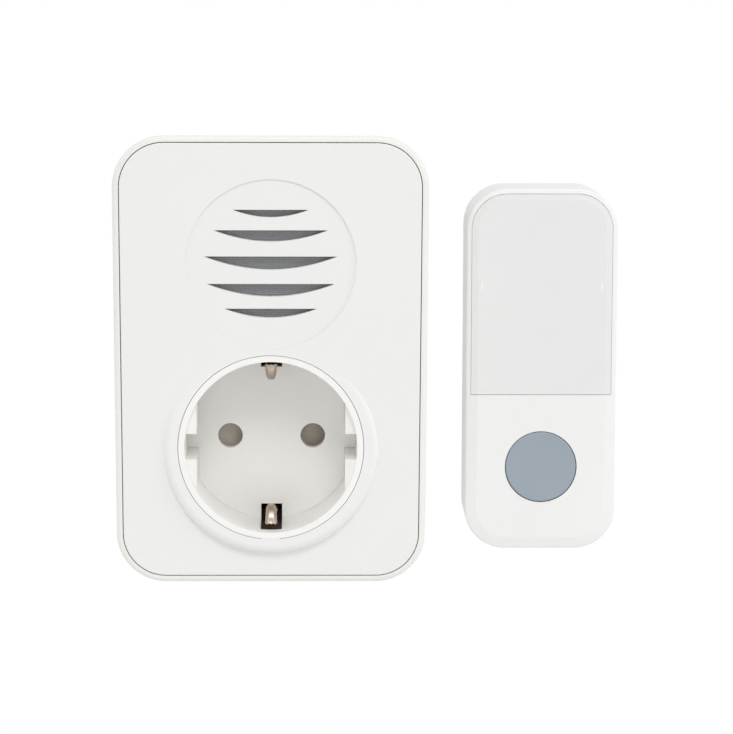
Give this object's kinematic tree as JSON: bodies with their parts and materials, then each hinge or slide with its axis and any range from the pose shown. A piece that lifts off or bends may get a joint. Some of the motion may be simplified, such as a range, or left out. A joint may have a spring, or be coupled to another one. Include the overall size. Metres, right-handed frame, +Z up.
{
  "type": "wireless doorbell",
  "caption": "Plug-in wireless chime with a slotted round grille and an earthed pass-through socket, beside a battery bell push with a name window and a round button.",
  "frame": {"origin": "where the axis of the chime's plug and socket meets the wall plane, on which both units' backs lie", "axes": "+Z up, +X to the right for someone facing the wall, -Y out of the wall towards the room; the plug points along +Y and the bell push lies to the right, at the picture's spacing"},
  "size_m": [0.1154, 0.0792, 0.1017],
  "materials": {
    "housing_abs": "fine satin moulded white ABS",
    "cover_abs": "fine satin moulded white ABS",
    "insert_thermoplastic": "smooth white socket moulding",
    "plug_thermoplastic": "smooth white plug moulding",
    "pin_nickel": "nickel-plated brass pins",
    "contact_brass": "bright rolled brass",
    "earth_spring_metal": "nickel-plated spring strip",
    "shutter_plastic": "grey-brown safety shutter",
    "spring_steel": "drawn spring wire",
    "screw_zinc": "zinc-plated screws",
    "speaker_cloth": "black dust cloth",
    "speaker_steel": "black painted pressed steel",
    "speaker_paper": "black paper cone",
    "magnet_ferrite": "dark ferrite and zinc-plated cup",
    "board_laminate": "green solder-resist laminate",
    "capacitor_film": "yellow film capacitor box",
    "capacitor_can": "aluminium can in a dark sleeve",
    "resistor_coat": "lacquered ceramic body",
    "diode_epoxy": "black epoxy",
    "chip_epoxy": "black epoxy",
    "switch_plastic": "black switch housing",
    "stem_plastic": "natural switch plunger",
    "button_white": "satin moulded white ABS",
    "aerial_copper": "enamelled copper wire",
    "mains_pvc": "PVC insulated lead",
    "signal_pvc": "PVC insulated lead",
    "push_abs": "fine satin moulded white ABS",
    "window_clear": "clear polished plastic",
    "card_paper": "blank white card",
    "button_grey": "satin grey-blue moulding",
    "battery_jacket": "plain foil jacket on a steel can",
    "crystal_metal": "nickel-plated can",
    "pad_foam": "white foam with adhesive",
    "plate_abs": "moulded white ABS"
  },
  "bodies": {
    "chime_and_wall_plate": {"rear_housing": "housing_abs", "front_cover": "cover_abs", "socket_insert": "insert_thermoplastic", "socket_floor": "insert_thermoplastic", "plug_body": "plug_thermoplastic", "plug_pin_left": "pin_nickel", "plug_pin_right": "pin_nickel", "contact_sleeve_left": "contact_brass", "contact_sleeve_right": "contact_brass", "earth_strip_top": "earth_spring_metal", "earth_strip_bottom": "earth_spring_metal", "earth_bridge": "earth_spring_metal", "shutter_washer": "spring_steel", "shutter_spring": "spring_steel", "speaker_cloth": "speaker_cloth", "speaker_frame": "speaker_steel", "speaker_magnet": "magnet_ferrite", "main_board": "board_laminate", "board_screws": "screw_zinc", "film_capacitor": "capacitor_film", "smoothing_capacitor": "capacitor_can", "fusible_resistor": "resistor_coat", "rectifier_diodes": "diode_epoxy", "chime_chips": "chip_epoxy", "radio_module": "board_laminate", "aerial": "aerial_copper", "mains_leads": "mains_pvc", "speaker_leads": "signal_pvc", "melody_switch": "switch_plastic", "volume_switch": "switch_plastic", "housing_screws": "screw_zinc", "push_wall_plate": "plate_abs", "wall_pads": "pad_foam"},
    "shutter": {"shutter": "shutter_plastic"},
    "speaker_cone": {"speaker_cone": "speaker_paper"},
    "melody_button": {"melody_button": "button_white", "melody_switch_stem": "stem_plastic"},
    "volume_button": {"volume_button": "button_white", "volume_switch_stem": "stem_plastic"},
    "bell_push": {"push_case": "push_abs", "name_card": "card_paper", "push_board": "board_laminate", "push_board_screws": "screw_zinc", "push_chip": "chip_epoxy", "push_resonator": "crystal_metal", "push_aerial": "aerial_copper", "battery": "battery_jacket", "battery_contact_plus": "earth_spring_metal", "battery_contact_minus": "earth_spring_metal", "bell_switch": "switch_plastic"},
    "name_window": {"name_window": "window_clear"},
    "bell_button": {"bell_button": "button_grey", "bell_switch_stem": "stem_plastic"}
  },
  "joints": [
    {"name": "shutter_swing", "type": "hinge", "parent": "chime_and_wall_plate", "child": "shutter", "pos_m": [0, -0.0188, 0], "axis": [0, 1, 0], "range_deg": [0, 38], "stiffness_Nm_per_rad": 0.001, "springref_deg": -11.46},
    {"name": "cone_stroke", "type": "slide", "parent": "chime_and_wall_plate", "child": "speaker_cone", "axis": [0, 0.9986, 0.0523], "range_m": [-0.00025, 0.00025], "stiffness_N_per_m": 50},
    {"name": "melody_press", "type": "slide", "parent": "chime_and_wall_plate", "child": "melody_button", "axis": [1, 0, 0], "range_m": [0, 0.0005], "stiffness_N_per_m": 400, "springref_m": -0.0005},
    {"name": "volume_press", "type": "slide", "parent": "chime_and_wall_plate", "child": "volume_button", "axis": [-1, 0, 0], "range_m": [0, 0.0005], "stiffness_N_per_m": 400, "springref_m": -0.0005},
    {"name": "push_lift_off", "type": "slide", "parent": "chime_and_wall_plate", "child": "bell_push", "axis": [0, -1, 0], "range_m": [0, 0.03]},
    {"name": "window_pull", "type": "slide", "parent": "bell_push", "child": "name_window", "axis": [0, -1, 0], "range_m": [0, 0.02]},
    {"name": "bell_press", "type": "slide", "parent": "bell_push", "child": "bell_button", "axis": [0, 1, 0], "range_m": [0, 0.0008], "stiffness_N_per_m": 400, "springref_m": -0.0005}
  ]
}
